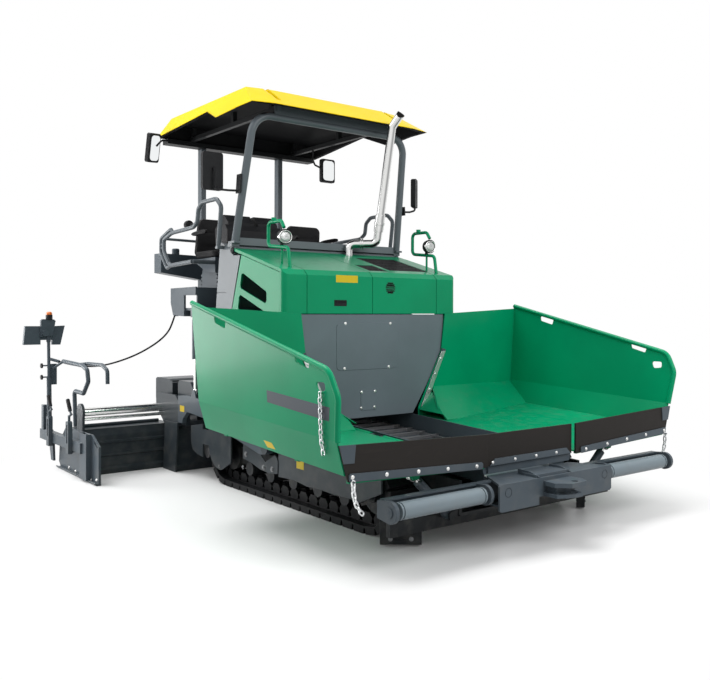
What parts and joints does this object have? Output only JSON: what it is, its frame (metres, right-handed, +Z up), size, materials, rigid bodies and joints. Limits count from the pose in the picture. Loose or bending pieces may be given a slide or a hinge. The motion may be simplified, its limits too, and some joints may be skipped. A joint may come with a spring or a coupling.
{
  "type": "asphalt paver",
  "caption": "Compact tracked asphalt paver with a folding two-wing receiving hopper, push rollers, slat conveyor, augers, operator canopy and an extending floating screed",
  "frame": {"origin": "On the ground, on the centre plane, halfway between the towing jaw's tip and the end plates' rear ends", "axes": "+X forward towards the hopper, +Y to the machine's left, +Z up"},
  "size_m": [4.9, 3.99, 3.33],
  "materials": {
    "track_rubber_steel": "matte",
    "frame_grey": "satin",
    "body_green": "gloss",
    "worn_steel": "satin",
    "engine_iron": "matte",
    "flap_rubber": "matte",
    "rod_chrome": "polished",
    "exhaust_steel": "polished",
    "roller_grey": "satin",
    "black_plastic": "matte",
    "canopy_yellow": "gloss",
    "cable_rubber": "matte"
  },
  "bodies": {
    "machine": {"canopy_frame": "frame_grey", "canopy_roof": "canopy_yellow", "centre_clamp": "frame_grey", "centre_flap": "flap_rubber", "chassis": "frame_grey", "control_console": "black_plastic", "conveyor_slats": "worn_steel", "conveyor_trough": "frame_grey", "cowl": "frame_grey", "engine": "engine_iron", "exhaust": "exhaust_steel", "front_wall": "frame_grey", "hood": "body_green", "hood_grilles": "black_plastic", "lamp_guards": "body_green", "mirrors": "black_plastic", "platform": "frame_grey", "rear_body": "frame_grey", "seat_bases": "frame_grey", "seats": "black_plastic", "side_rails": "frame_grey", "side_skirts": "frame_grey", "track_frames": "frame_grey", "track_left": "track_rubber_steel", "track_right": "track_rubber_steel", "work_lamps": "black_plastic"},
    "wing_right": {"hopper_wing_right": "body_green", "wing_flap_right": "flap_rubber", "wing_clamps_right": "frame_grey", "wing_chains_right": "worn_steel"},
    "wing_barrel_right": {"wing_cylinder_barrel_right": "frame_grey"},
    "wing_rod_right": {"wing_cylinder_rod_right": "rod_chrome"},
    "hood_flap_right": {"hood_side_flap_right": "body_green"},
    "auger_body_right": {"auger_right": "worn_steel"},
    "roller_right": {"push_roller_right": "roller_grey"},
    "lift_barrel_body_right": {"lift_barrel_right": "frame_grey"},
    "lift_rod_body_right": {"lift_rod_right": "rod_chrome"},
    "extension_right": {"screed_extension_right": "frame_grey", "extension_tube_right": "rod_chrome", "end_plate_right": "frame_grey", "control_station_right": "frame_grey", "screed_cable": "cable_rubber"},
    "wing_left": {"hopper_wing_left": "body_green", "wing_flap_left": "flap_rubber", "wing_clamps_left": "frame_grey", "wing_chains_left": "worn_steel"},
    "wing_barrel_left": {"wing_cylinder_barrel_left": "frame_grey"},
    "wing_rod_left": {"wing_cylinder_rod_left": "rod_chrome"},
    "hood_flap_left": {"hood_side_flap_left": "body_green"},
    "auger_body_left": {"auger_left": "worn_steel"},
    "roller_left": {"push_roller_left": "roller_grey"},
    "lift_barrel_body_left": {"lift_barrel_left": "frame_grey"},
    "lift_rod_body_left": {"lift_rod_left": "rod_chrome"},
    "extension_left": {"screed_extension_left": "frame_grey", "extension_tube_left": "rod_chrome", "end_plate_left": "frame_grey", "control_station_left": "frame_grey"},
    "beam": {"push_beam": "frame_grey"},
    "screed": {"screed_base": "frame_grey", "screed_arms": "frame_grey"}
  },
  "joints": [
    {"name": "wing_fold_right", "type": "hinge", "parent": "machine", "child": "wing_right", "pos_m": [2.059, -0.42, 0.484], "axis": [-0.9988, 0, 0.0489], "range_deg": [0, 44]},
    {"name": "wing_barrel_pin_right", "type": "hinge", "parent": "machine", "child": "wing_barrel_right", "pos_m": [1.935, -0.64, 0.19], "axis": [-0.9988, 0, 0.0489], "range_deg": [0, 34]},
    {"name": "wing_rod_slide_right", "type": "slide", "parent": "wing_barrel_right", "child": "wing_rod_right", "axis": [0.0334, -0.7311, 0.6815], "range_m": [0, 0.27]},
    {"name": "hood_flap_hinge_right", "type": "hinge", "parent": "machine", "child": "hood_flap_right", "pos_m": [0.3837, -0.886, 1.4], "axis": [0, 0, 1], "range_deg": [0, 90]},
    {"name": "auger_turn_right", "type": "hinge", "parent": "machine", "child": "auger_body_right", "pos_m": [-0.945, -0.5, 0.3], "axis": [0, 1, 0], "continuous": true},
    {"name": "push_roller_turn_right", "type": "hinge", "parent": "beam", "child": "roller_right", "pos_m": [2.201, -0.94, 0.35], "axis": [0, 1, 0], "continuous": true},
    {"name": "wing_fold_left", "type": "hinge", "parent": "machine", "child": "wing_left", "pos_m": [2.059, 0.42, 0.484], "axis": [0.9988, 0, -0.0489], "range_deg": [0, 44]},
    {"name": "wing_barrel_pin_left", "type": "hinge", "parent": "machine", "child": "wing_barrel_left", "pos_m": [1.935, 0.64, 0.19], "axis": [0.9988, 0, -0.0489], "range_deg": [0, 34]},
    {"name": "wing_rod_slide_left", "type": "slide", "parent": "wing_barrel_left", "child": "wing_rod_left", "axis": [0.0334, 0.7311, 0.6815], "range_m": [0, 0.27]},
    {"name": "hood_flap_hinge_left", "type": "hinge", "parent": "machine", "child": "hood_flap_left", "pos_m": [0.3837, 0.886, 1.4], "axis": [0, 0, -1], "range_deg": [0, 90]},
    {"name": "auger_turn_left", "type": "hinge", "parent": "machine", "child": "auger_body_left", "pos_m": [-0.945, 0.5, 0.3], "axis": [0, 1, 0], "continuous": true},
    {"name": "push_roller_turn_left", "type": "hinge", "parent": "beam", "child": "roller_left", "pos_m": [2.201, 0.94, 0.35], "axis": [0, 1, 0], "continuous": true},
    {"name": "push_beam_swivel", "type": "hinge", "parent": "machine", "child": "beam", "pos_m": [1.96, 0, 0.322], "axis": [0, 0, 1], "range_deg": [-3, 3]},
    {"name": "screed_lift", "type": "hinge", "parent": "machine", "child": "screed", "pos_m": [0.325, 0, 0.42], "axis": [0, 1, 0], "range_deg": [0, 10], "deforming": ["screed_cable"]},
    {"name": "lift_barrel_pin_right", "type": "hinge", "parent": "machine", "child": "lift_barrel_body_right", "pos_m": [-0.875, -0.955, 1.42], "axis": [0, -1, 0], "range_deg": [0, 8.5]},
    {"name": "lift_rod_slide_right", "type": "slide", "parent": "lift_barrel_body_right", "child": "lift_rod_body_right", "axis": [0, 0, 1], "range_m": [0, 0.205]},
    {"name": "extension_slide_right", "type": "slide", "parent": "screed", "child": "extension_right", "axis": [0, 1, 0], "range_m": [0, 0.725], "deforming": ["screed_cable"]},
    {"name": "lift_barrel_pin_left", "type": "hinge", "parent": "machine", "child": "lift_barrel_body_left", "pos_m": [-0.875, 0.955, 1.42], "axis": [0, -1, 0], "range_deg": [0, 8.5]},
    {"name": "lift_rod_slide_left", "type": "slide", "parent": "lift_barrel_body_left", "child": "lift_rod_body_left", "axis": [0, 0, 1], "range_m": [0, 0.205]},
    {"name": "extension_slide_left", "type": "slide", "parent": "screed", "child": "extension_left", "axis": [0, -1, 0], "range_m": [0, 0.725]}
  ],
  "couplings": [
    {"joint": "wing_barrel_pin_right", "follows": "wing_fold_right", "ratio": 0.7537},
    {"joint": "wing_rod_slide_right", "follows": "wing_fold_right", "m_per_rad": 0.34323},
    {"joint": "wing_barrel_pin_left", "follows": "wing_fold_left", "ratio": 0.7537},
    {"joint": "wing_rod_slide_left", "follows": "wing_fold_left", "m_per_rad": 0.34323},
    {"joint": "lift_barrel_pin_right", "follows": "screed_lift", "ratio": 0.788},
    {"joint": "lift_rod_slide_right", "follows": "screed_lift", "m_per_rad": 1.1448},
    {"joint": "lift_barrel_pin_left", "follows": "screed_lift", "ratio": 0.788},
    {"joint": "lift_rod_slide_left", "follows": "screed_lift", "m_per_rad": 1.1448}
  ]
}
